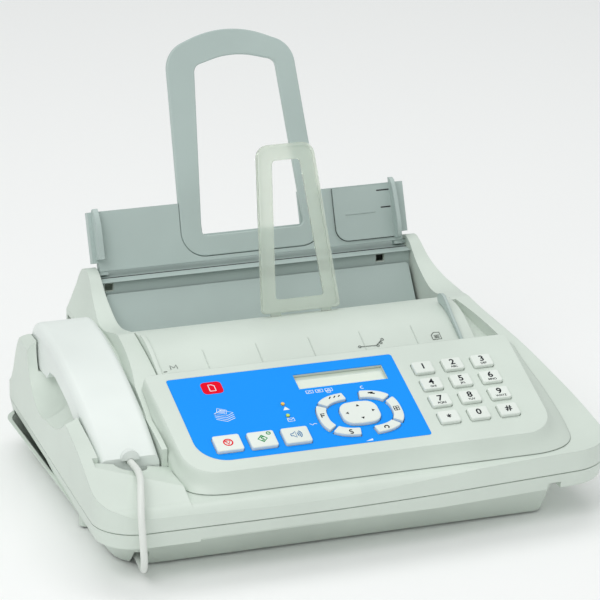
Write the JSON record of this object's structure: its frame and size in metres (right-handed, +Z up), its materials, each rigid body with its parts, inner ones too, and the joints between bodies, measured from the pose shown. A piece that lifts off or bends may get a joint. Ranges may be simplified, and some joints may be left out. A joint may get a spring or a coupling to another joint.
{
  "type": "fax machine",
  "caption": "Desktop fax machine with a handset in a left cradle, a sloping hinged keypad console, a document ramp, and a rear paper slot with a tall extending support.",
  "frame": {"origin": "on the table under the middle of the machine, its cord left out", "axes": "+X to the machine's right as its user sees it, +Y to its back, +Z up"},
  "size_m": [0.3552, 0.3241, 0.267],
  "materials": {
    "casing": "fine grained off-white moulding",
    "dark_rubber": "matt",
    "steel": "plated",
    "overlay_blue": "satin printed sheet",
    "display": "clear window over a grey-green display",
    "lamp": "diffused",
    "board": "laminate",
    "key_grey": "satin",
    "guide_grey": "satin blue-grey",
    "clear": "clear, faint yellow-green edges",
    "black": "satin",
    "handset_white": "satin",
    "plug_clear": "clear modular plug",
    "cord_white": "satin sleeve"
  },
  "bodies": {
    "housing": {"lower_casing": "casing", "upper_casing": "casing", "rubber_feet": "dark_rubber", "casing_screws": "steel", "print_frame": "black", "carriage_shaft": "steel", "carriage_motor": "steel", "motor_pulley": "black", "drive_belt": "dark_rubber", "scan_sensor": "black", "main_board": "board", "power_supply": "board", "speaker": "black", "mains_inlet": "black", "phone_jacks": "black", "handset_cord": "cord_white"},
    "console": {"console_cover": "casing", "panel_overlay": "overlay_blue", "lcd_window": "display", "status_lights": "lamp", "panel_board": "board"},
    "key_1": {"key_1": "key_grey"},
    "key_2": {"key_2": "key_grey"},
    "key_3": {"key_3": "key_grey"},
    "key_4": {"key_4": "key_grey"},
    "key_5": {"key_5": "key_grey"},
    "key_6": {"key_6": "key_grey"},
    "key_7": {"key_7": "key_grey"},
    "key_8": {"key_8": "key_grey"},
    "key_9": {"key_9": "key_grey"},
    "key_star": {"key_star": "key_grey"},
    "key_0": {"key_0": "key_grey"},
    "key_hash": {"key_hash": "key_grey"},
    "stop_key": {"stop_key": "key_grey"},
    "start_key": {"start_key": "key_grey"},
    "speaker_key": {"speaker_key": "key_grey"},
    "index_key": {"index_key": "key_grey"},
    "clear_key": {"clear_key": "key_grey"},
    "book_key": {"book_key": "key_grey"},
    "redial_key": {"redial_key": "key_grey"},
    "setup_key": {"setup_key": "key_grey"},
    "function_key": {"function_key": "key_grey"},
    "nav_seat": {"nav_seat": "dark_rubber"},
    "nav_pad": {"nav_pad": "key_grey"},
    "handset": {"handset_top": "handset_white", "handset_base": "handset_white", "handset_plug": "plug_clear"},
    "hook_button": {"hook_button": "black"},
    "document_cover": {"document_cover": "casing"},
    "document_guide": {"document_guide": "guide_grey"},
    "document_support": {"document_support": "clear"},
    "paper_support": {"paper_support": "guide_grey"},
    "support_extension": {"support_extension": "guide_grey"},
    "paper_guide": {"paper_guide": "guide_grey"},
    "pressure_plate": {"pressure_plate": "guide_grey"},
    "pickup_roller": {"pickup_roller": "dark_rubber"},
    "feed_roller": {"feed_roller": "dark_rubber"},
    "exit_roller": {"exit_roller": "dark_rubber"},
    "carriage": {"print_carriage": "black", "ink_cartridge": "black"}
  },
  "joints": [
    {"name": "handset_lift", "type": "slide", "parent": "housing", "child": "handset", "axis": [0, 0, 1], "range_m": [0, 0.06], "deforming": ["handset_cord"]},
    {"name": "hook_rise", "type": "slide", "parent": "housing", "child": "hook_button", "axis": [0, 0, 1], "range_m": [0, 0.004]},
    {"name": "console_hinge", "type": "hinge", "parent": "housing", "child": "console", "pos_m": [0.0083, -0.1463, 0.0515], "axis": [1, 0, 0], "range_deg": [0, 55]},
    {"name": "key_1_press", "type": "slide", "parent": "console", "child": "key_1", "axis": [0, 0.3453, -0.9385], "range_m": [0, 0.0013], "stiffness_N_per_m": 300, "springref_m": -0.0005},
    {"name": "key_2_press", "type": "slide", "parent": "console", "child": "key_2", "axis": [0, 0.3453, -0.9385], "range_m": [0, 0.0013], "stiffness_N_per_m": 300, "springref_m": -0.0005},
    {"name": "key_3_press", "type": "slide", "parent": "console", "child": "key_3", "axis": [0, 0.3453, -0.9385], "range_m": [0, 0.0013], "stiffness_N_per_m": 300, "springref_m": -0.0005},
    {"name": "key_4_press", "type": "slide", "parent": "console", "child": "key_4", "axis": [0, 0.3453, -0.9385], "range_m": [0, 0.0013], "stiffness_N_per_m": 300, "springref_m": -0.0005},
    {"name": "key_5_press", "type": "slide", "parent": "console", "child": "key_5", "axis": [0, 0.3453, -0.9385], "range_m": [0, 0.0013], "stiffness_N_per_m": 300, "springref_m": -0.0005},
    {"name": "key_6_press", "type": "slide", "parent": "console", "child": "key_6", "axis": [0, 0.3453, -0.9385], "range_m": [0, 0.0013], "stiffness_N_per_m": 300, "springref_m": -0.0005},
    {"name": "key_7_press", "type": "slide", "parent": "console", "child": "key_7", "axis": [0, 0.3453, -0.9385], "range_m": [0, 0.0013], "stiffness_N_per_m": 300, "springref_m": -0.0005},
    {"name": "key_8_press", "type": "slide", "parent": "console", "child": "key_8", "axis": [0, 0.3453, -0.9385], "range_m": [0, 0.0013], "stiffness_N_per_m": 300, "springref_m": -0.0005},
    {"name": "key_9_press", "type": "slide", "parent": "console", "child": "key_9", "axis": [0, 0.3453, -0.9385], "range_m": [0, 0.0013], "stiffness_N_per_m": 300, "springref_m": -0.0005},
    {"name": "key_star_press", "type": "slide", "parent": "console", "child": "key_star", "axis": [0, 0.3453, -0.9385], "range_m": [0, 0.0013], "stiffness_N_per_m": 300, "springref_m": -0.0005},
    {"name": "key_0_press", "type": "slide", "parent": "console", "child": "key_0", "axis": [0, 0.3453, -0.9385], "range_m": [0, 0.0013], "stiffness_N_per_m": 300, "springref_m": -0.0005},
    {"name": "key_hash_press", "type": "slide", "parent": "console", "child": "key_hash", "axis": [0, 0.3453, -0.9385], "range_m": [0, 0.0013], "stiffness_N_per_m": 300, "springref_m": -0.0005},
    {"name": "stop_key_press", "type": "slide", "parent": "console", "child": "stop_key", "axis": [0, 0.3453, -0.9385], "range_m": [0, 0.0013], "stiffness_N_per_m": 300, "springref_m": -0.0005},
    {"name": "start_key_press", "type": "slide", "parent": "console", "child": "start_key", "axis": [0, 0.3453, -0.9385], "range_m": [0, 0.0013], "stiffness_N_per_m": 300, "springref_m": -0.0005},
    {"name": "speaker_key_press", "type": "slide", "parent": "console", "child": "speaker_key", "axis": [0, 0.3453, -0.9385], "range_m": [0, 0.0013], "stiffness_N_per_m": 300, "springref_m": -0.0005},
    {"name": "index_key_press", "type": "slide", "parent": "console", "child": "index_key", "axis": [0, 0.3453, -0.9385], "range_m": [0, 0.0013], "stiffness_N_per_m": 300, "springref_m": -0.0005},
    {"name": "clear_key_press", "type": "slide", "parent": "console", "child": "clear_key", "axis": [0, 0.3453, -0.9385], "range_m": [0, 0.0013], "stiffness_N_per_m": 300, "springref_m": -0.0005},
    {"name": "book_key_press", "type": "slide", "parent": "console", "child": "book_key", "axis": [0, 0.3453, -0.9385], "range_m": [0, 0.0013], "stiffness_N_per_m": 300, "springref_m": -0.0005},
    {"name": "redial_key_press", "type": "slide", "parent": "console", "child": "redial_key", "axis": [0, 0.3453, -0.9385], "range_m": [0, 0.0013], "stiffness_N_per_m": 300, "springref_m": -0.0005},
    {"name": "setup_key_press", "type": "slide", "parent": "console", "child": "setup_key", "axis": [0, 0.3453, -0.9385], "range_m": [0, 0.0013], "stiffness_N_per_m": 300, "springref_m": -0.0005},
    {"name": "function_key_press", "type": "slide", "parent": "console", "child": "function_key", "axis": [0, 0.3453, -0.9385], "range_m": [0, 0.0013], "stiffness_N_per_m": 300, "springref_m": -0.0005},
    {"name": "pad_rock", "type": "hinge", "parent": "console", "child": "nav_seat", "pos_m": [0.0116, -0.10106, 0.07525], "axis": [1, 0, 0], "range_deg": [-4, 4], "stiffness_Nm_per_rad": 0.05},
    {"name": "pad_tilt", "type": "hinge", "parent": "nav_seat", "child": "nav_pad", "pos_m": [0.0116, -0.10106, 0.07525], "axis": [0, 0.9385, 0.3453], "range_deg": [-4, 4], "stiffness_Nm_per_rad": 0.05},
    {"name": "document_cover_hinge", "type": "hinge", "parent": "housing", "child": "document_cover", "pos_m": [0.0083, 0.0157, 0.1052], "axis": [-1, 0, 0], "range_deg": [0, 40]},
    {"name": "document_guide_slide", "type": "slide", "parent": "document_cover", "child": "document_guide", "axis": [-1, 0, 0], "range_m": [0, 0.06]},
    {"name": "document_support_slide", "type": "slide", "parent": "housing", "child": "document_support", "axis": [0, 0.3338, 0.9426], "range_m": [0, 0.012]},
    {"name": "paper_support_hinge", "type": "hinge", "parent": "housing", "child": "paper_support", "pos_m": [0.0083, 0.1005, 0.1178], "axis": [1, 0, 0], "range_deg": [0, 25]},
    {"name": "support_extension_slide", "type": "slide", "parent": "paper_support", "child": "support_extension", "axis": [0, 0.3584, 0.9336], "range_m": [0, 0.045]},
    {"name": "paper_guide_slide", "type": "slide", "parent": "paper_support", "child": "paper_guide", "axis": [-1, 0, 0], "range_m": [0, 0.06]},
    {"name": "pressure_plate_hinge", "type": "hinge", "parent": "housing", "child": "pressure_plate", "pos_m": [0.0083, 0.0863, 0.1072], "axis": [1, 0, 0], "range_deg": [0, 3], "stiffness_Nm_per_rad": 0.5, "springref_deg": -5.73},
    {"name": "feed_spin", "type": "hinge", "parent": "housing", "child": "feed_roller", "pos_m": [0.0083, -0.0533, 0.02], "axis": [1, 0, 0], "continuous": true},
    {"name": "pickup_spin", "type": "hinge", "parent": "housing", "child": "pickup_roller", "pos_m": [0.0083, 0.03971, 0.06451], "axis": [1, 0, 0], "continuous": true},
    {"name": "exit_spin", "type": "hinge", "parent": "housing", "child": "exit_roller", "pos_m": [0.0083, -0.1083, 0.0215], "axis": [1, 0, 0], "continuous": true},
    {"name": "carriage_slide", "type": "slide", "parent": "housing", "child": "carriage", "axis": [1, 0, 0], "range_m": [0, 0.16]}
  ],
  "couplings": [
    {"joint": "hook_rise", "follows": "handset_lift", "ratio": 0.0666},
    {"joint": "pickup_spin", "follows": "feed_spin", "ratio": -0.63636},
    {"joint": "exit_spin", "follows": "feed_spin", "ratio": 1.1667}
  ]
}
